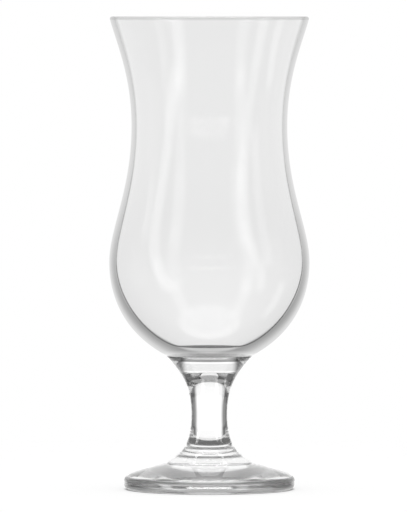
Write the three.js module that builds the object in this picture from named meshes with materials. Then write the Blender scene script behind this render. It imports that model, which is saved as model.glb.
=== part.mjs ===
// Tall cocktail glass: a curved bowl fused to a solid waisted stem on a round domed foot.
// Millimetres, +Z up, the foot's contact ring on Z = 0 and the axis of the glass on Z.
import * as THREE from 'three';

const GLASS_HEIGHT = 201;

// Foot
const FOOT_HEIGHT = 11;
const FOOT_DIAMETER = 72.6;
const FOOT_EDGE_ROUND = 2.4;
const FOOT_EDGE_LAND = 0.8;
const FOOT_SHOULDER = 2.1;
const FOOT_DOME_REACH = 18;
const FOOT_DOME_SLOPE_DEG = 13;
const CONTACT_RING_WIDTH = 5;
const HOLLOW_DEPTH = 0.5;

// Stem, from its join with the foot to its waist and on to its join with the bowl
const STEM_LOWER_LENGTH = 20.5;
const STEM_UPPER_LENGTH = 25.3;
const STEM_DIAMETER = 15.3;
const FOOT_JOIN_DIAMETER = 36.4;
const BOWL_JOIN_DIAMETER = 36.4;
const STEM_LOWER_REACH = 17.8;
const STEM_UPPER_REACH = 12.8;
const FOOT_ROLL = 3.4;
const FOOT_ROLL_DEG = 60;
const BOWL_FLARE = 10.4;
const BOWL_FLARE_DEG = 49;

// Bowl: belly above the join with the stem, waist below the rim, and a flat floor inside
const BELLY_RISE = 39.7;
const BELLY_DIAMETER = 85.2;
const BELLY_WALL = 2.9;
const BELLY_UPPER_REACH = 14.6;
const BELLY_LOWER_REACH = 9.5;
const BELLY_INNER_REACH = 18;
const UNDERSIDE_REACH = 24.6;
const UNDERSIDE_DEG = 28;
const FLOOR_THICKNESS = 3.8;
const FLOOR_DIAMETER = 20;
const FLOOR_REACH = 10.5;
const WAIST_DROP = 46.5;
const WAIST_DIAMETER = 66.2;
const WAIST_WALL = 1.85;
const WAIST_UPPER_REACH = 21.2;
const WAIST_LOWER_REACH = 27.2;
const RIM_DIAMETER = 84.6;
const RIM_WALL = 1.9;
const RIM_FLARE_DEG = 15;
const RIM_REACH = 10;

// Facets round the axis and steps along each curve
const FACETS = 64;
const CURVE_STEPS = 9;
const HOLLOW_STEPS = 5;
const EDGE_STEPS = 4;
const LIP_STEPS = 3;
const SAME_POINT = 1e-6;

const FOOT_RADIUS = FOOT_DIAMETER / 2;
const FOOT_JOIN_RADIUS = FOOT_JOIN_DIAMETER / 2;
const STEM_RADIUS = STEM_DIAMETER / 2;
const BOWL_JOIN_RADIUS = BOWL_JOIN_DIAMETER / 2;
const FLOOR_RADIUS = FLOOR_DIAMETER / 2;
const BELLY_RADIUS = BELLY_DIAMETER / 2;
const WAIST_RADIUS = WAIST_DIAMETER / 2;
const RIM_RADIUS = RIM_DIAMETER / 2;

const STEM_WAIST_HEIGHT = FOOT_HEIGHT + STEM_LOWER_LENGTH;
const BOWL_JOIN_HEIGHT = STEM_WAIST_HEIGHT + STEM_UPPER_LENGTH;
const FLOOR_HEIGHT = BOWL_JOIN_HEIGHT + FLOOR_THICKNESS;
const BELLY_HEIGHT = BOWL_JOIN_HEIGHT + BELLY_RISE;
const WAIST_HEIGHT = GLASS_HEIGHT - WAIST_DROP;

const at = (radius, height) => new THREE.Vector2(radius, height);

// The point a given distance away, at an angle measured up from straight outwards.
function stepFrom(point, distance, degrees) {
  const angle = THREE.MathUtils.degToRad(degrees);
  return at(point.x + distance * Math.cos(angle), point.y + distance * Math.sin(angle));
}

function curve(start, startHandle, endHandle, end) {
  return new THREE.CubicBezierCurve(start, startHandle, endHandle, end).getPoints(CURVE_STEPS);
}

function arc(centre, radius, startDegrees, endDegrees, steps) {
  const points = [];
  for (let i = 0; i <= steps; i += 1) {
    points.push(stepFrom(centre, radius, startDegrees + (endDegrees - startDegrees) * i / steps));
  }
  return points;
}

// One outline from its stretches, with the points that two stretches share kept once.
function joined(...stretches) {
  const points = [];
  for (const point of stretches.flat()) {
    if (points.length === 0 || point.distanceTo(points[points.length - 1]) > SAME_POINT) {
      points.push(point);
    }
  }
  return points;
}

// The foot stands on a flat ring round a shallow domed hollow.
function footProfile() {
  const ringOuter = FOOT_RADIUS - FOOT_EDGE_ROUND;
  const ringInner = ringOuter - CONTACT_RING_WIDTH;
  const hollowRadius = (ringInner ** 2 + HOLLOW_DEPTH ** 2) / (2 * HOLLOW_DEPTH);
  const hollowSpread = THREE.MathUtils.radToDeg(Math.asin(ringInner / hollowRadius));
  const domeStart = at(FOOT_RADIUS, FOOT_EDGE_ROUND + FOOT_EDGE_LAND);
  const domeEnd = at(FOOT_JOIN_RADIUS, FOOT_HEIGHT);
  return joined(
    [at(0, HOLLOW_DEPTH)],
    arc(at(0, HOLLOW_DEPTH - hollowRadius), hollowRadius, 90, 90 - hollowSpread, HOLLOW_STEPS),
    arc(at(ringOuter, FOOT_EDGE_ROUND), FOOT_EDGE_ROUND, -90, 0, EDGE_STEPS),
    curve(
      domeStart,
      stepFrom(domeStart, FOOT_SHOULDER, 90),
      stepFrom(domeEnd, FOOT_DOME_REACH, -FOOT_DOME_SLOPE_DEG),
      domeEnd,
    ),
    [at(0, FOOT_HEIGHT)],
  );
}

// The stem is solid, and rolls over into the foot below and opens into the bowl above.
function stemProfile() {
  const bottom = at(FOOT_JOIN_RADIUS, FOOT_HEIGHT);
  const waist = at(STEM_RADIUS, STEM_WAIST_HEIGHT);
  const top = at(BOWL_JOIN_RADIUS, BOWL_JOIN_HEIGHT);
  return joined(
    [at(0, FOOT_HEIGHT)],
    curve(
      bottom,
      stepFrom(bottom, FOOT_ROLL, 180 - FOOT_ROLL_DEG),
      stepFrom(waist, STEM_LOWER_REACH, -90),
      waist,
    ),
    curve(
      waist,
      stepFrom(waist, STEM_UPPER_REACH, 90),
      stepFrom(top, BOWL_FLARE, 180 + BOWL_FLARE_DEG),
      top,
    ),
    [at(0, BOWL_JOIN_HEIGHT)],
  );
}

// The bowl's outside runs up to a round lip, and its inside back down to the flat floor.
function bowlProfile() {
  const join = at(BOWL_JOIN_RADIUS, BOWL_JOIN_HEIGHT);
  const belly = at(BELLY_RADIUS, BELLY_HEIGHT);
  const waist = at(WAIST_RADIUS, WAIST_HEIGHT);
  const innerWaist = at(WAIST_RADIUS - WAIST_WALL, WAIST_HEIGHT);
  const innerBelly = at(BELLY_RADIUS - BELLY_WALL, BELLY_HEIGHT);
  const floorEdge = at(FLOOR_RADIUS, FLOOR_HEIGHT);
  const lipRadius = RIM_WALL / 2;
  const lipCentre = at(RIM_RADIUS - lipRadius, GLASS_HEIGHT - lipRadius);
  const lipOuter = stepFrom(lipCentre, lipRadius, -RIM_FLARE_DEG);
  const lipInner = stepFrom(lipCentre, lipRadius, 180 - RIM_FLARE_DEG);
  return joined(
    [at(0, BOWL_JOIN_HEIGHT)],
    curve(
      join,
      stepFrom(join, UNDERSIDE_REACH, UNDERSIDE_DEG),
      stepFrom(belly, BELLY_LOWER_REACH, -90),
      belly,
    ),
    curve(
      belly,
      stepFrom(belly, BELLY_UPPER_REACH, 90),
      stepFrom(waist, WAIST_LOWER_REACH, -90),
      waist,
    ),
    curve(
      waist,
      stepFrom(waist, WAIST_UPPER_REACH, 90),
      stepFrom(lipOuter, RIM_REACH, -90 - RIM_FLARE_DEG),
      lipOuter,
    ),
    arc(lipCentre, lipRadius, 0, 90, LIP_STEPS),
    arc(lipCentre, lipRadius, 90, 180 - RIM_FLARE_DEG, LIP_STEPS),
    curve(
      lipInner,
      stepFrom(lipInner, RIM_REACH, -90 - RIM_FLARE_DEG),
      stepFrom(innerWaist, WAIST_UPPER_REACH, 90),
      innerWaist,
    ),
    curve(
      innerWaist,
      stepFrom(innerWaist, WAIST_LOWER_REACH, -90),
      stepFrom(innerBelly, BELLY_UPPER_REACH, 90),
      innerBelly,
    ),
    curve(
      innerBelly,
      stepFrom(innerBelly, BELLY_INNER_REACH, -90),
      stepFrom(floorEdge, FLOOR_REACH, 0),
      floorEdge,
    ),
    [at(0, FLOOR_HEIGHT)],
  );
}

function turned(name, profile) {
  const geometry = new THREE.LatheGeometry(profile, FACETS);
  geometry.rotateX(Math.PI / 2);
  const clearGlass = new THREE.MeshStandardMaterial({
    color: new THREE.Color(0.91, 0.92, 0.92),
    roughness: 0.04,
    metalness: 0,
    transparent: true,
    opacity: 0.35,
  });
  const mesh = new THREE.Mesh(geometry, clearGlass);
  mesh.name = name;
  return mesh;
}

const glass = new THREE.Group();
glass.name = 'cocktail_glass';
glass.add(turned('foot', footProfile()));
glass.add(turned('stem', stemProfile()));
glass.add(turned('bowl', bowlProfile()));

export default glass;
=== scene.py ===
"""Tall cocktail glass in clear glass: bowl, stem and foot on a pale studio floor."""
import math

import bmesh
import bpy
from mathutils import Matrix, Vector
from mathutils.geometry import interpolate_bezier


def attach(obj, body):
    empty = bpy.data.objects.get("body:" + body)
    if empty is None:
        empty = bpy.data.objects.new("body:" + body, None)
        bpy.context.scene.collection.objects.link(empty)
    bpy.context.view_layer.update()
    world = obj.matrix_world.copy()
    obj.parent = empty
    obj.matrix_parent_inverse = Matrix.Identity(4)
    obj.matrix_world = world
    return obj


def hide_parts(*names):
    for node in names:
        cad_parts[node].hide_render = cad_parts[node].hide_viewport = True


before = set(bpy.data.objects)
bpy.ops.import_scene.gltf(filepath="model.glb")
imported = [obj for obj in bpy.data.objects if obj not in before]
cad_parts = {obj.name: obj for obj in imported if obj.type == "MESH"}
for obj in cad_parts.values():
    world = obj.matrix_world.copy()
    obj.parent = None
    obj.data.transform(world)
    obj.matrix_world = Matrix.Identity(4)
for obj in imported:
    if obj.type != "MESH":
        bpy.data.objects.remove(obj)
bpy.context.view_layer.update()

MM = 0.001

# Sizes of the glass in millimetres and degrees, as in the solids. Only the bottom of the cavity is
# drawn wider, to where it appears through the thick wall: the floor's radius and the two inner reaches.
GLASS_HEIGHT = 201

FOOT_HEIGHT = 11
FOOT_RADIUS = 36.3
FOOT_EDGE_ROUND = 2.4
FOOT_EDGE_LAND = 0.8
LAND_INSET = 0.08
FOOT_SHOULDER = 2.1
FOOT_DOME_REACH = 18
FOOT_DOME_SLOPE = 13
CONTACT_RING_WIDTH = 5
HOLLOW_DEPTH = 0.5

STEM_LOWER_LENGTH = 20.5
STEM_UPPER_LENGTH = 25.3
STEM_RADIUS = 7.65
FOOT_JOIN_RADIUS = 18.2
BOWL_JOIN_RADIUS = 18.2
STEM_LOWER_REACH = 17.8
STEM_UPPER_REACH = 12.8
FOOT_ROLL = 3.4
FOOT_ROLL_ANGLE = 60
BOWL_FLARE = 10.4
BOWL_FLARE_ANGLE = 49
JOIN_GAP = 0.01

FLOOR_THICKNESS = 3.8
FLOOR_RADIUS = 12
FLOOR_REACH = 9.5
UNDERSIDE_REACH = 24.6
UNDERSIDE_ANGLE = 28
BELLY_RISE = 39.7
BELLY_RADIUS = 42.6
BELLY_WALL = 2.9
BELLY_UPPER_REACH = 14.6
BELLY_LOWER_REACH = 9.5
BELLY_INNER_REACH = 19.25
WAIST_DROP = 46.5
WAIST_RADIUS = 33.1
WAIST_WALL = 1.85
WAIST_UPPER_REACH = 21.2
WAIST_LOWER_REACH = 27.2
RIM_RADIUS = 42.3
RIM_WALL = 1.9
RIM_FLARE = 15
RIM_REACH = 10

STEM_WAIST_HEIGHT = FOOT_HEIGHT + STEM_LOWER_LENGTH
BOWL_JOIN_HEIGHT = STEM_WAIST_HEIGHT + STEM_UPPER_LENGTH
STEM_TOP = BOWL_JOIN_HEIGHT - JOIN_GAP
FLOOR_HEIGHT = BOWL_JOIN_HEIGHT + FLOOR_THICKNESS
BELLY_HEIGHT = BOWL_JOIN_HEIGHT + BELLY_RISE
WAIST_HEIGHT = GLASS_HEIGHT - WAIST_DROP

# Smoothness of the turned pieces
CURVE_STEPS = 28
ROUND_STEPS = 8
TURN_STEPS = 144

# How close counts as the same, in metres, and how steep a face's normal is on each kind of face
SAME_POINT = 1e-7
SAME_HEIGHT = 1e-6
LEVEL_TILT = 1 - 1e-7
UNDERSIDE_TILT = -0.7
INSIDE_TILT = -0.5
ALMOST_NONE = 1e-9


def at(radius, height):
    return Vector((radius, 0, height))


def step_from(point, distance, degrees):
    """The point a given distance away, at an angle measured up from straight outwards."""
    angle = math.radians(degrees)
    return point + at(distance * math.cos(angle), distance * math.sin(angle))


def curve(start, start_handle, end_handle, end):
    return interpolate_bezier(start, start_handle, end_handle, end, CURVE_STEPS)


def arc(centre, radius, start, end, steps=ROUND_STEPS):
    return [step_from(centre, radius, start + (end - start) * i / steps) for i in range(steps + 1)]


def foot_outline():
    """Flat contact ring round a shallow hollow, rounded edge, domed top and flat join."""
    ring_outer = FOOT_RADIUS - FOOT_EDGE_ROUND
    ring_inner = ring_outer - CONTACT_RING_WIDTH
    hollow_radius = (ring_inner ** 2 + HOLLOW_DEPTH ** 2) / (2 * HOLLOW_DEPTH)
    spread = math.degrees(math.asin(ring_inner / hollow_radius))
    dome_start = at(FOOT_RADIUS, FOOT_EDGE_ROUND + FOOT_EDGE_LAND)
    dome_end = at(FOOT_JOIN_RADIUS, FOOT_HEIGHT)
    land_rises = (LAND_INSET, FOOT_EDGE_LAND - LAND_INSET)
    return (
        arc(at(0, HOLLOW_DEPTH - hollow_radius), hollow_radius, 90, 90 - spread)
        + arc(at(ring_outer, FOOT_EDGE_ROUND), FOOT_EDGE_ROUND, -90, 0)
        + [at(FOOT_RADIUS, FOOT_EDGE_ROUND + rise) for rise in land_rises]
        + curve(
            dome_start,
            step_from(dome_start, FOOT_SHOULDER, 90),
            step_from(dome_end, FOOT_DOME_REACH, -FOOT_DOME_SLOPE),
            dome_end,
        )
        + [at(0, FOOT_HEIGHT)]
    )


def stem_outline():
    """Solid stem that rolls over into the foot and opens into the bowl."""
    bottom = at(FOOT_JOIN_RADIUS, FOOT_HEIGHT)
    waist = at(STEM_RADIUS, STEM_WAIST_HEIGHT)
    top = at(BOWL_JOIN_RADIUS, STEM_TOP)
    return (
        [at(0, FOOT_HEIGHT)]
        + curve(
            bottom,
            step_from(bottom, FOOT_ROLL, 180 - FOOT_ROLL_ANGLE),
            step_from(waist, STEM_LOWER_REACH, -90),
            waist,
        )
        + curve(
            waist,
            step_from(waist, STEM_UPPER_REACH, 90),
            step_from(top, BOWL_FLARE, 180 + BOWL_FLARE_ANGLE),
            top,
        )
        + [at(0, STEM_TOP)]
    )


def bowl_outline():
    """Outside from the join up to the round lip, then the inside back down to the floor."""
    join = at(BOWL_JOIN_RADIUS, BOWL_JOIN_HEIGHT)
    belly = at(BELLY_RADIUS, BELLY_HEIGHT)
    waist = at(WAIST_RADIUS, WAIST_HEIGHT)
    inner_belly = at(BELLY_RADIUS - BELLY_WALL, BELLY_HEIGHT)
    inner_waist = at(WAIST_RADIUS - WAIST_WALL, WAIST_HEIGHT)
    floor_edge = at(FLOOR_RADIUS, FLOOR_HEIGHT)
    lip_radius = RIM_WALL / 2
    lip_centre = at(RIM_RADIUS - lip_radius, GLASS_HEIGHT - lip_radius)
    lip_outer = step_from(lip_centre, lip_radius, -RIM_FLARE)
    lip_inner = step_from(lip_centre, lip_radius, 180 - RIM_FLARE)
    return (
        [at(0, BOWL_JOIN_HEIGHT)]
        + curve(
            join,
            step_from(join, UNDERSIDE_REACH, UNDERSIDE_ANGLE),
            step_from(belly, BELLY_LOWER_REACH, -90),
            belly,
        )
        + curve(
            belly,
            step_from(belly, BELLY_UPPER_REACH, 90),
            step_from(waist, WAIST_LOWER_REACH, -90),
            waist,
        )
        + curve(
            waist,
            step_from(waist, WAIST_UPPER_REACH, 90),
            step_from(lip_outer, RIM_REACH, -90 - RIM_FLARE),
            lip_outer,
        )
        + arc(lip_centre, lip_radius, -RIM_FLARE, 180 - RIM_FLARE, 2 * ROUND_STEPS)
        + curve(
            lip_inner,
            step_from(lip_inner, RIM_REACH, -90 - RIM_FLARE),
            step_from(inner_waist, WAIST_UPPER_REACH, 90),
            inner_waist,
        )
        + curve(
            inner_waist,
            step_from(inner_waist, WAIST_LOWER_REACH, -90),
            step_from(inner_belly, BELLY_UPPER_REACH, 90),
            inner_belly,
        )
        + curve(
            inner_belly,
            step_from(inner_belly, BELLY_INNER_REACH, -90),
            step_from(floor_edge, FLOOR_REACH, 0),
            floor_edge,
        )
        + [at(0, FLOOR_HEIGHT)]
    )


def turned(name, outline, glass, joins=(), underside=None):
    """A piece turned from its outline.

    Each join is a height and the material of the level faces there.
    The underside's material, where there is one, is on the faces that look down.
    """
    shape = bmesh.new()
    points = [shape.verts.new(point * MM) for point in outline]
    bmesh.ops.remove_doubles(shape, verts=points, dist=SAME_POINT)
    shape.verts.ensure_lookup_table()
    profile = list(shape.verts)
    edges = [shape.edges.new(pair) for pair in zip(profile, profile[1:])]
    bmesh.ops.spin(
        shape,
        geom=profile + edges,
        cent=(0, 0, 0),
        axis=(0, 0, 1),
        angle=math.tau,
        steps=TURN_STEPS,
        use_merge=True,
    )
    bmesh.ops.remove_doubles(shape, verts=shape.verts, dist=SAME_POINT)
    bmesh.ops.recalc_face_normals(shape, faces=shape.faces)
    inside = shape.faces.layers.float.new("inside")
    for face in shape.faces:
        middle = face.calc_center_median()
        outward = face.normal.xy.dot(middle.xy)
        face[inside] = outward < ALMOST_NONE and face.normal.z > INSIDE_TILT
        level = abs(face.normal.z) > LEVEL_TILT
        face.smooth = not level
        if underside and face.normal.z < UNDERSIDE_TILT:
            face.material_index = len(joins) + 1
        for number, (height, _) in enumerate(joins, 1):
            if level and abs(middle.z - height * MM) < SAME_HEIGHT:
                face.material_index = number
    mesh = bpy.data.meshes.new(name)
    shape.to_mesh(mesh)
    shape.free()
    mesh.materials.append(glass)
    for _, material in joins:
        mesh.materials.append(material)
    if underside:
        mesh.materials.append(underside)
    piece = bpy.data.objects.new(name, mesh)
    bpy.context.collection.objects.link(piece)
    return piece


def new_material(name):
    material = bpy.data.materials.new(name)
    material.use_nodes = True
    material.node_tree.nodes.clear()
    return material, material.node_tree.nodes, material.node_tree.links


def maths(nodes, links, operation, *values):
    node = nodes.new("ShaderNodeMath")
    node.operation = operation
    for socket, value in zip(node.inputs, values):
        if isinstance(value, (int, float)):
            socket.default_value = value
        else:
            links.new(value, socket)
    return node.outputs["Value"]


def soft_step(nodes, links, value, start, end, low=0, high=1):
    """Low at the start, high at the end, and smooth between."""
    ramp = nodes.new("ShaderNodeMapRange")
    ramp.interpolation_type = "SMOOTHSTEP"
    ramp.inputs["From Min"].default_value = start
    ramp.inputs["From Max"].default_value = end
    ramp.inputs["To Min"].default_value = low
    ramp.inputs["To Max"].default_value = high
    links.new(value, ramp.inputs["Value"])
    return ramp.outputs["Result"]


def step_at(nodes, links, place, start, end, low=0, high=1):
    """A soft step between two places in millimetres."""
    return soft_step(nodes, links, place, start * MM, end * MM, low, high)


def shaded(nodes, links, amount, share):
    """1 less the share of the amount."""
    loss = maths(nodes, links, "MULTIPLY", amount, share)
    return maths(nodes, links, "MULTIPLY_ADD", loss, -1, 1)


def from_axis(nodes, links):
    """Distance from the axis of the glass."""
    flat = nodes.new("ShaderNodeVectorMath")
    flat.operation = "MULTIPLY"
    flat.inputs[1].default_value = (1, 1, 0)
    reach = nodes.new("ShaderNodeVectorMath")
    reach.operation = "LENGTH"
    links.new(nodes["Texture Coordinate"].outputs["Object"], flat.inputs[0])
    links.new(flat.outputs["Vector"], reach.inputs[0])
    return reach.outputs["Value"]


def from_base(nodes, links):
    """Height above the base of the glass."""
    height = nodes.new("ShaderNodeSeparateXYZ")
    links.new(nodes["Texture Coordinate"].outputs["Object"], height.inputs["Vector"])
    return height.outputs["Z"]


def from_outside(nodes, links):
    """1 where a piece is met from outside, 0 from within."""
    side = nodes.new("ShaderNodeNewGeometry")
    return maths(nodes, links, "SUBTRACT", 1, side.outputs["Backfacing"])


def rippled(nodes, links, size, depth):
    """Surface with the faint ripple that the mould leaves, its size and depth in millimetres."""
    ripple = nodes.new("ShaderNodeTexNoise")
    ripple.inputs["Scale"].default_value = 1 / (size * MM)
    bump = nodes.new("ShaderNodeBump")
    bump.inputs["Distance"].default_value = depth * MM
    links.new(nodes["Texture Coordinate"].outputs["Object"], ripple.inputs["Vector"])
    links.new(ripple.outputs["Fac"], bump.inputs["Height"])
    return bump.outputs["Normal"]


# Greys of the bowl's wall by height: where each change starts and ends in millimetres, and its value there.
# The line is painted shade round the cavity, and the band is painted shade on the thick wall outside it; with
# the grey of the outline and of the lip they stand in for the dark that a bending wall would show.
INNER_GREY = (60, 120, 0, 0.05)
OUTER_GREY = (65, 100, 0, 0.022)
LINE_PAINTED_SHADE = (84, 102, 0.6, 0.18)
LINE_FADE = (128, 146, 0, 0.14)
BAND_PAINTED_SHADE = (62, 130, 0.2, 0)
CAVITY_EDGE = (58, 96, 0.52, 0.65)
ABOVE_JOIN = (56.9, 58.5, 0, 1)
LIP_PAINTED_SHADE = (199.4, 199.8, 1, 0.945)
OUTLINE_PAINTED_SHADE = 0.08

# Where each shade starts and is full, from 0 on a wall seen face on to 1 on a wall seen edge on.
# The last two are counted from the edge of the cavity.
FACE_ON = (0.9, 0.1)
LINE_TURN = (0.85, 0.91)
PAST_CAVITY = (-0.04, 0.01)
SHORT_OF_EDGE = (0.26, 0)

# Gloss, ripple and depth of the bowl's wall
WALL_MIRROR = 1.5
WALL_GLOSS = 0.3
WALL_GLOSS_MOST = 0.022
WALL_ROUGHNESS = 0.12
WALL_RIPPLE = (30, 0.002)
WALL_DEPTH = 24
WALL_DEPTH_GREY = 0.5


def cavity_tint(nodes, links, turn, face_on):
    """Grey of the cavity's wall, with a painted dark line round it."""
    height = from_base(nodes, links)
    # Painted shade: the dark line round the cavity, darkest low in the bowl.
    line_below = step_at(nodes, links, height, *LINE_PAINTED_SHADE)
    line_above = step_at(nodes, links, height, *LINE_FADE)
    line_shade = maths(nodes, links, "SUBTRACT", line_below, line_above)
    line = shaded(nodes, links, line_shade, soft_step(nodes, links, turn, *LINE_TURN))
    wall = shaded(nodes, links, step_at(nodes, links, height, *INNER_GREY), face_on)
    return maths(nodes, links, "MULTIPLY", wall, line)


def outer_tint(nodes, links, turn, face_on):
    """Grey of the outer wall, with painted shade darkest just outside the edge of the cavity."""
    height = from_base(nodes, links)
    into_wall = maths(nodes, links, "SUBTRACT", turn, step_at(nodes, links, height, *CAVITY_EDGE))
    past_cavity = soft_step(nodes, links, into_wall, *PAST_CAVITY)
    short_of_edge = soft_step(nodes, links, into_wall, *SHORT_OF_EDGE)
    # Painted shade on the thick wall just outside the cavity, fading to a light grey at the outline.
    band_shade = step_at(nodes, links, height, *BAND_PAINTED_SHADE)
    wall_shade = maths(nodes, links, "MULTIPLY_ADD", band_shade, short_of_edge, OUTLINE_PAINTED_SHADE)
    wall_painted_shade = maths(nodes, links, "MULTIPLY", wall_shade, step_at(nodes, links, height, *ABOVE_JOIN))
    wall = shaded(nodes, links, wall_painted_shade, past_cavity)
    front = shaded(nodes, links, face_on, step_at(nodes, links, height, *OUTER_GREY))
    return maths(nodes, links, "MULTIPLY", wall, front)


def blown_glass(name):
    """Wall that does not bend the view: grey where it is deep, with painted shade round the cavity, softly
    glossy.
    """
    material, nodes, links = new_material(name)
    nodes.new("ShaderNodeTexCoord")
    turn = nodes.new("ShaderNodeLayerWeight").outputs["Facing"]
    face_on = soft_step(nodes, links, turn, *FACE_ON)
    inner = nodes.new("ShaderNodeAttribute")
    inner.attribute_name = "inside"
    tint = nodes.new("ShaderNodeMix")
    links.new(inner.outputs["Fac"], tint.inputs["Factor"])
    links.new(outer_tint(nodes, links, turn, face_on), tint.inputs["A"])
    links.new(cavity_tint(nodes, links, turn, face_on), tint.inputs["B"])
    # A faint painted grey along the top of the lip.
    lip = step_at(nodes, links, from_base(nodes, links), *LIP_PAINTED_SHADE)
    clear = nodes.new("ShaderNodeBsdfTransparent")
    links.new(maths(nodes, links, "MULTIPLY", tint.outputs["Result"], lip), clear.inputs["Color"])
    gloss = nodes.new("ShaderNodeBsdfGlossy")
    gloss.inputs["Color"].default_value = (1, 1, 1, 1)
    gloss.inputs["Roughness"].default_value = WALL_ROUGHNESS
    links.new(rippled(nodes, links, *WALL_RIPPLE), gloss.inputs["Normal"])
    mirror = nodes.new("ShaderNodeFresnel")
    mirror.inputs["IOR"].default_value = WALL_MIRROR
    share = maths(nodes, links, "MULTIPLY", mirror.outputs["Fac"], WALL_GLOSS)
    soft_share = maths(nodes, links, "MINIMUM", share, WALL_GLOSS_MOST)
    shine = maths(nodes, links, "MULTIPLY", soft_share, from_outside(nodes, links))
    mix = nodes.new("ShaderNodeMixShader")
    links.new(shine, mix.inputs["Fac"])
    links.new(clear.outputs["BSDF"], mix.inputs[1])
    links.new(gloss.outputs["BSDF"], mix.inputs[2])
    depth = nodes.new("ShaderNodeVolumeAbsorption")
    depth.inputs["Color"].default_value = (WALL_DEPTH_GREY, WALL_DEPTH_GREY, WALL_DEPTH_GREY, 1)
    depth.inputs["Density"].default_value = WALL_DEPTH
    out = nodes.new("ShaderNodeOutputMaterial")
    links.new(mix.outputs["Shader"], out.inputs["Surface"])
    links.new(depth.outputs["Volume"], out.inputs["Volume"])
    return material


# Glass of the stem and foot, and its ripple's size and depth in millimetres
GLASS_TINT = 0.99
GLASS_BENDING = 1.52
STEM_RIPPLE = (12, 0.0005)
FOOT_RIPPLE = (8, 0.002)

# The join under the bowl, as it is seen from above
JOIN_CLOUD = 0.85
JOIN_GREY = 0.95

# Pebbled rings: where each starts and ends and its blend in millimetres, and its roughness
SOFT_EDGE = (35.2, 36.27, 0.03, 0.3)
PEBBLES = (14.8, 23.5, 1, 0.55)

# Rings of painted shade, standing in for the dark bands that bent glass shows of its surroundings: where each
# starts and ends and its blend in millimetres, and its grey. On the stem they lie at heights, on the foot at
# distances from the axis. The stem's first ring is the line of the join under the bowl.
STEM_SHADE_RINGS = (
    (56.2, 57.2, 0.15, 0.4),
    (54.8, 56.1, 0.15, 0.1),
    (50.8, 54.1, 0.2, 0.62),
    (17.3, 18.2, 0.15, 0.3),
    (16.05, 16.5, 0.15, 0.4),
    (14.0, 14.75, 0.2, 0.2),
)
# Painted shade on the foot's dome and round its edge.
FOOT_SHADE_RINGS = (
    (22.5, 34, 1.5, 0.6),
    (35.75, 50, 0.15, 0.27),
)
# Painted shade round the edge of the underside.
UNDERSIDE_SHADE_RINGS = (
    (34.9, 50, 0.1, 0.25),
)


def clear_glass(name, ripple_size, ripple_depth):
    """Colourless polished glass."""
    material, nodes, links = new_material(name)
    nodes.new("ShaderNodeTexCoord")
    glass = nodes.new("ShaderNodeBsdfPrincipled")
    glass.inputs["Base Color"].default_value = (GLASS_TINT, GLASS_TINT, GLASS_TINT, 1)
    glass.inputs["Roughness"].default_value = 0
    glass.inputs["IOR"].default_value = GLASS_BENDING
    glass.inputs["Transmission Weight"].default_value = 1
    links.new(rippled(nodes, links, ripple_size, ripple_depth), glass.inputs["Normal"])
    out = nodes.new("ShaderNodeOutputMaterial")
    links.new(glass.outputs["BSDF"], out.inputs["Surface"])
    return material


def ring_mask(nodes, links, place, start, end, blend):
    """1 between two places in millimetres, 0 elsewhere."""
    after_start = step_at(nodes, links, place, start - blend, start + blend)
    before_end = step_at(nodes, links, place, end + blend, end - blend)
    return maths(nodes, links, "MULTIPLY", after_start, before_end)


def pebbled(material, start, end, blend, roughness):
    """A finely pebbled ring on a piece that is otherwise polished."""
    nodes, links = material.node_tree.nodes, material.node_tree.links
    ring = ring_mask(nodes, links, from_axis(nodes, links), start, end, blend)
    rough = maths(nodes, links, "MULTIPLY", ring, roughness)
    links.new(rough, nodes["Principled BSDF"].inputs["Roughness"])


def greyed(material, measure, rings):
    """Grey rings, painted shade except the stem's join line, on the outside of a piece that is otherwise
    clear.
    """
    nodes, links = material.node_tree.nodes, material.node_tree.links
    place = measure(nodes, links)
    tint = 1
    for start, end, blend, grey in rings:
        ring = ring_mask(nodes, links, place, start, end, blend)
        clear = maths(nodes, links, "MULTIPLY_ADD", ring, grey - 1, 1)
        tint = maths(nodes, links, "MULTIPLY", tint, clear)
    loss = maths(nodes, links, "SUBTRACT", tint, 1)
    seen = maths(nodes, links, "MULTIPLY_ADD", loss, from_outside(nodes, links), 1)
    links.new(seen, nodes["Principled BSDF"].inputs["Base Color"])


def clouded(material, cloud, grey):
    """Cloudy where the piece is seen from outside, clear from within."""
    nodes, links = material.node_tree.nodes, material.node_tree.links
    clear = shaded(nodes, links, from_outside(nodes, links), cloud)
    links.new(clear, nodes["Principled BSDF"].inputs["Transmission Weight"])
    nodes["Principled BSDF"].inputs["Base Color"].default_value = (grey, grey, grey, 1)


def fused_join():
    """Where two gathers of glass have melted into one, so no surface shows."""
    material, nodes, links = new_material("fused_join")
    clear = nodes.new("ShaderNodeBsdfTransparent")
    out = nodes.new("ShaderNodeOutputMaterial")
    links.new(clear.outputs["BSDF"], out.inputs["Surface"])
    return material


fused = fused_join()
bowl_glass = blown_glass("bowl_glass")
stem_glass = clear_glass("stem_glass", *STEM_RIPPLE)
greyed(stem_glass, from_base, STEM_SHADE_RINGS)
bowl_join = clear_glass("bowl_join", *STEM_RIPPLE)
clouded(bowl_join, JOIN_CLOUD, JOIN_GREY)
foot_glass = clear_glass("foot_glass", *FOOT_RIPPLE)
greyed(foot_glass, from_axis, FOOT_SHADE_RINGS)
pebbled(foot_glass, *SOFT_EDGE)
foot_underside = clear_glass("foot_underside", *FOOT_RIPPLE)
greyed(foot_underside, from_axis, UNDERSIDE_SHADE_RINGS)
pebbled(foot_underside, *PEBBLES)

stem_joins = [(FOOT_HEIGHT, fused), (STEM_TOP, bowl_join)]
foot_joins = [(FOOT_HEIGHT, fused)]
bowl = turned("glass_bowl", bowl_outline(), bowl_glass)
stem = turned("glass_stem", stem_outline(), stem_glass, stem_joins)
foot = turned("glass_foot", foot_outline(), foot_glass, foot_joins, foot_underside)
# The clear bowl lets the light through to the join below it.
bowl.visible_shadow = False
bowl.visible_diffuse = False
for piece, node in ((bowl, "bowl"), (stem, "stem"), (foot, "foot")):
    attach(piece, "root")
    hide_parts(node)


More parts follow.
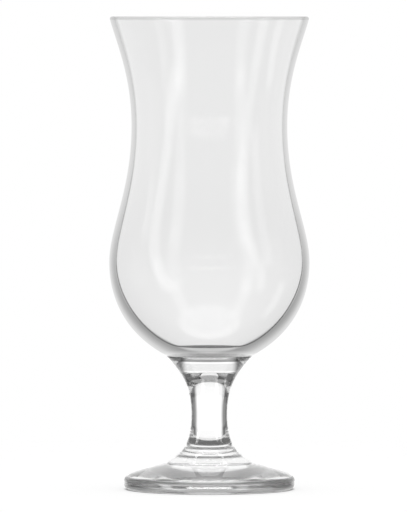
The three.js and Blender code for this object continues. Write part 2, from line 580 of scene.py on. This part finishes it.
# Soft panels round the glass: bearing and its change with elevation, half width and fade, lowest and
# highest elevation and fade, all in degrees, and strength. Bearing 0 is behind, along +Y, 90 along +X.
PANELS = {
    "backdrop": (0, 0, 26, 16, -90, 45.5, 2, 0.9),
    "overhead": (0, 0, 180, 1, 49, 90, 4, 0.3),
    "zenith": (0, 0, 76, 30, 78, 90, 5, 0.6),
    "high_ring": (0, 0, 76, 24, 64, 74, 5, 1.4),
    "backdrop_edge": (0, 0, 46, 14, -12, 10, 4, 0.14),
    "right_floor": (57, 0, 7, 5, -26, -19, 4, 0.25),
    "left_floor": (-57, 0, 7, 5, -26, -19, 4, 0.25),
    "left_card": (-90, 0, 10, 8, -13, 7, 8, 0.97),
    "front": (180, 0, 48, 18, -60, 30, 8, 0.55),
}
# Strip lights that only show as gloss on the outside
STRIPS = {
    "left_strip": (-118, 0.5, 4, 8, -22, 29, 8, 6.5),
    "left_high": (-139, 0, 4, 8, -52, -20, 8, 4),
    "right_strip": (134, 0, 4, 8, -22, 29, 8, 4),
    "right_high": (135, 0, 4, 8, -52, -22, 8, 3.5),
    "right_second": (109, 0, 3, 7, 2, 29, 6, 3.5),
    "right_low": (84, 0, 3, 6, -40, -18, 8, 4),
    "top_strip": (0, 0, 180, 1, 66, 90, 8, 5),
    "front_line": (180, 0, 26, 8, -4.4, -3.6, 0.2, 16),
}
ROOM_GREY = 0.12


def lit_panels(nodes, links, bearing, rise, panels):
    """The light of the given panels together."""
    total = 0
    for centre, slant, half, fade, low, high, end_fade, strength in panels.values():
        middle = maths(nodes, links, "MULTIPLY_ADD", rise, slant, math.radians(centre))
        turned_by = maths(nodes, links, "SUBTRACT", bearing, middle)
        wrapped = maths(nodes, links, "WRAP", turned_by, math.pi, -math.pi)
        aside = maths(nodes, links, "ABSOLUTE", wrapped)
        across = soft_step(nodes, links, aside, math.radians(half + fade), math.radians(half))
        below = soft_step(nodes, links, rise, math.radians(low - end_fade), math.radians(low))
        above = soft_step(nodes, links, rise, math.radians(high + end_fade), math.radians(high))
        upright = maths(nodes, links, "MULTIPLY", below, above)
        patch = maths(nodes, links, "MULTIPLY", across, upright)
        lit = maths(nodes, links, "MULTIPLY", patch, strength)
        total = maths(nodes, links, "ADD", total, lit)
    return total


def studio_world():
    """White all round, with the panels and strips in its place for gloss and for what shows through glass."""
    world = bpy.data.worlds.new("studio")
    bpy.context.scene.world = world
    world.use_nodes = True
    nodes, links = world.node_tree.nodes, world.node_tree.links
    nodes.clear()
    where = nodes.new("ShaderNodeTexCoord")
    split = nodes.new("ShaderNodeSeparateXYZ")
    links.new(where.outputs["Generated"], split.inputs["Vector"])
    bearing = maths(nodes, links, "ARCTAN2", split.outputs["X"], split.outputs["Y"])
    rise = maths(nodes, links, "ARCSINE", split.outputs["Z"])
    path = nodes.new("ShaderNodeLightPath")
    glossy = path.outputs["Is Glossy Ray"]
    through = path.outputs["Is Transmission Ray"]
    strips = lit_panels(nodes, links, bearing, rise, STRIPS)
    gloss = maths(nodes, links, "MULTIPLY", strips, maths(nodes, links, "GREATER_THAN", glossy, through))
    panels = lit_panels(nodes, links, bearing, rise, PANELS)
    walls = maths(nodes, links, "ADD", panels, ROOM_GREY)
    level = nodes.new("ShaderNodeMix")
    level.inputs["A"].default_value = 1
    links.new(maths(nodes, links, "MAXIMUM", glossy, through), level.inputs["Factor"])
    links.new(maths(nodes, links, "ADD", walls, gloss), level.inputs["B"])
    white = nodes.new("ShaderNodeBackground")
    white.inputs["Color"].default_value = (1, 1, 1, 1)
    links.new(level.outputs["Result"], white.inputs["Strength"])
    out = nodes.new("ShaderNodeOutputWorld")
    links.new(white.outputs["Background"], out.inputs["Surface"])


# Floor: sizes in millimetres, its grey, and its own glow, dimmed to a painted contact shadow under the foot's
# edge and full beyond it
STAGE_RADIUS = 350
STAGE_SOLID = 100
STAGE_DROP = 0.1
STAGE_SEGMENTS = 96
STAGE_GREY = 0.3
STAGE_GLOW_AND_SHADOW = (34.7, 37, 0.12, 0.71)

# The floor as it shows through the foot, with a painted shadow: dark in the middle and under the edge, white
# elsewhere, near to the glass only, with all distances in millimetres
CONTACT_NEAR = 6
CONTACT_FAR = 16
CONTACT_DARK = 21
CONTACT_LIT = 25
CONTACT_SHADOW_GREY = 0.15
CONTACT_WHITE = 0.97
EDGE_SHADE_FROM = 34.9
EDGE_SHADE_TO = 35.7
EDGE_SHADE_BLEND = 0.4


def contact_glow_and_shadow(nodes, links, reach):
    """Strength of the floor as it shows through the foot, with its painted shadow."""
    outer = step_at(nodes, links, reach, CONTACT_DARK, CONTACT_LIT)
    inside_edge = step_at(nodes, links, reach, EDGE_SHADE_FROM + EDGE_SHADE_BLEND, EDGE_SHADE_FROM)
    outside_edge = step_at(nodes, links, reach, EDGE_SHADE_TO - EDGE_SHADE_BLEND, EDGE_SHADE_TO)
    clear_of_edge = maths(nodes, links, "MAXIMUM", inside_edge, outside_edge)
    open_floor = maths(nodes, links, "MULTIPLY", outer, clear_of_edge)
    return maths(nodes, links, "MULTIPLY_ADD", open_floor, CONTACT_WHITE - CONTACT_SHADOW_GREY, CONTACT_SHADOW_GREY)


def faded(nodes, links, surface, distance, solid, gone):
    """A surface that turns clear between two distances in millimetres."""
    clear = nodes.new("ShaderNodeBsdfTransparent")
    mix = nodes.new("ShaderNodeMixShader")
    links.new(step_at(nodes, links, distance, solid, gone), mix.inputs["Fac"])
    links.new(surface, mix.inputs[1])
    links.new(clear.outputs["BSDF"], mix.inputs[2])
    return mix.outputs["Shader"]


def pale_floor():
    """Pale surface that fades into the white of the studio, with a painted shadow round the foot; through
    glass it shows close to it only.
    """
    material, nodes, links = new_material("pale_floor")
    place = nodes.new("ShaderNodeTexCoord")
    distance = nodes.new("ShaderNodeVectorMath")
    distance.operation = "LENGTH"
    links.new(place.outputs["Object"], distance.inputs[0])
    reach = distance.outputs["Value"]
    grey = nodes.new("ShaderNodeBsdfDiffuse")
    grey.inputs["Color"].default_value = (STAGE_GREY, STAGE_GREY, STAGE_GREY, 1)
    glow = nodes.new("ShaderNodeEmission")
    # The glow is dimmed into a painted contact shadow round the foot's edge.
    links.new(step_at(nodes, links, reach, *STAGE_GLOW_AND_SHADOW), glow.inputs["Strength"])
    pale = nodes.new("ShaderNodeAddShader")
    links.new(grey.outputs["BSDF"], pale.inputs[0])
    links.new(glow.outputs["Emission"], pale.inputs[1])
    contact = nodes.new("ShaderNodeEmission")
    links.new(contact_glow_and_shadow(nodes, links, reach), contact.inputs["Strength"])
    path = nodes.new("ShaderNodeLightPath")
    beyond = path.outputs["Ray Length"]
    direct = faded(nodes, links, pale.outputs["Shader"], reach, STAGE_SOLID, STAGE_RADIUS)
    # Through glass, the painted shadow shows only close under the foot.
    through = faded(nodes, links, contact.outputs["Emission"], beyond, CONTACT_NEAR, CONTACT_FAR)
    seen = nodes.new("ShaderNodeMixShader")
    links.new(path.outputs["Is Transmission Ray"], seen.inputs["Fac"])
    links.new(direct, seen.inputs[1])
    links.new(through, seen.inputs[2])
    out = nodes.new("ShaderNodeOutputMaterial")
    links.new(seen.outputs["Shader"], out.inputs["Surface"])
    return material


def studio_floor():
    shape = bmesh.new()
    bmesh.ops.create_circle(shape, cap_ends=True, segments=STAGE_SEGMENTS, radius=STAGE_RADIUS * MM)
    bmesh.ops.translate(shape, verts=shape.verts, vec=(0, 0, -STAGE_DROP * MM))
    mesh = bpy.data.meshes.new("studio_floor")
    shape.to_mesh(mesh)
    shape.free()
    mesh.materials.append(pale_floor())
    floor = bpy.data.objects.new("studio_floor", mesh)
    bpy.context.collection.objects.link(floor)
    floor.visible_glossy = False


# Long lens just above the rim, aimed at the middle of the frame, in metres and pixels
CAMERA_DISTANCE = 3.1
CAMERA_HEIGHT = 0.216
CAMERA_SIGHT = 100
AIM = Vector((-0.0025, 0, 0.0992))
PIXELS_PER_METRE = 2353
FRAME_HEIGHT = 512


def studio_camera():
    camera = bpy.data.objects.new("camera", bpy.data.cameras.new("camera"))
    bpy.context.collection.objects.link(camera)
    camera.location = (0, -CAMERA_DISTANCE, CAMERA_HEIGHT)
    camera.rotation_euler = (AIM - camera.location).to_track_quat("-Z", "Y").to_euler()
    camera.data.lens = camera.data.sensor_width * PIXELS_PER_METRE * CAMERA_DISTANCE / FRAME_HEIGHT
    camera.data.clip_end = CAMERA_SIGHT
    bpy.context.scene.camera = camera


studio_world()
studio_floor()
studio_camera()

# Light passes many walls of glass before it reaches the eye.
GLASS_BOUNCES = 32
GLOSS_BOUNCES = 16

scene = bpy.context.scene
scene.view_settings.view_transform = "Standard"
scene.cycles.max_bounces = GLASS_BOUNCES
scene.cycles.transmission_bounces = GLASS_BOUNCES
scene.cycles.glossy_bounces = GLOSS_BOUNCES
scene.cycles.transparent_max_bounces = GLASS_BOUNCES
